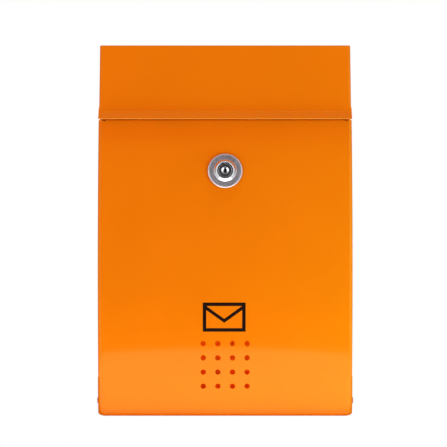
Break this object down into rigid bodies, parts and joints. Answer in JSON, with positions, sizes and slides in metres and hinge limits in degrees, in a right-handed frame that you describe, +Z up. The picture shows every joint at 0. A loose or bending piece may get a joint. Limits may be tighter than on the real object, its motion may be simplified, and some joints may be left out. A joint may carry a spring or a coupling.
{
  "type": "wall mailbox",
  "caption": "Compact wall mailbox in folded orange enamelled sheet steel: sloping lid over the mail slot, bulging bottom-hinged door with a cam lock and a grid of small view holes",
  "frame": {"origin": "centre of the underside, halfway between the wall plane and the crest of the door", "axes": "+X to the viewer's right, front faces -Y, back (wall) faces +Y, +Z up"},
  "size_m": [0.2164, 0.088, 0.315],
  "materials": {
    "enamel": "gloss orange enamel on steel sheet",
    "chrome": "polished chrome plate",
    "satin_nickel": "satin nickel",
    "zinc": "bright zinc plate",
    "brass": "stamped, bare",
    "aluminium": "blind rivet, bare",
    "rubber": "matt"
  },
  "bodies": {
    "cabinet": {"back_panel": "enamel", "side_panel_left": "enamel", "side_panel_right": "enamel", "base_tray": "enamel", "slot_rail": "enamel", "lid_hinge_rod": "zinc", "door_pin_left": "enamel", "door_bumper_left": "rubber", "lid_pad_left": "rubber", "rail_rivet_left_1": "aluminium", "base_rivet_left_1": "aluminium", "rail_rivet_left_2": "aluminium", "base_rivet_left_2": "aluminium", "door_pin_right": "enamel", "door_bumper_right": "rubber", "lid_pad_right": "rubber", "rail_rivet_right_1": "aluminium", "base_rivet_right_1": "aluminium", "rail_rivet_right_2": "aluminium", "base_rivet_right_2": "aluminium"},
    "lid": {"lid_panel": "enamel"},
    "door": {"door_panel": "enamel", "lock_rosette": "satin_nickel", "lock_housing": "chrome", "lock_washer": "zinc", "lock_nut": "zinc"},
    "lock_core": {"lock_plug": "chrome", "lock_wafer_1": "brass", "lock_wafer_2": "brass", "lock_wafer_3": "brass", "lock_wafer_4": "brass", "lock_wafer_5": "brass", "stop_washer": "zinc", "lock_cam": "zinc", "cam_washer": "zinc", "cam_screw": "zinc"}
  },
  "joints": [
    {"name": "lid_hinge", "type": "hinge", "parent": "cabinet", "child": "lid", "pos_m": [0, 0.0414, 0.3124], "axis": [-1, 0, 0], "range_deg": [0, 85]},
    {"name": "door_hinge", "type": "hinge", "parent": "cabinet", "child": "door", "pos_m": [0, -0.02201, 0.0136], "axis": [1, 0, 0], "range_deg": [0, 90]},
    {"name": "lock_turn", "type": "hinge", "parent": "door", "child": "lock_core", "pos_m": [0, -0.03624, 0.2074], "axis": [0, -0.9821, 0.1885], "range_deg": [0, 90]}
  ]
}
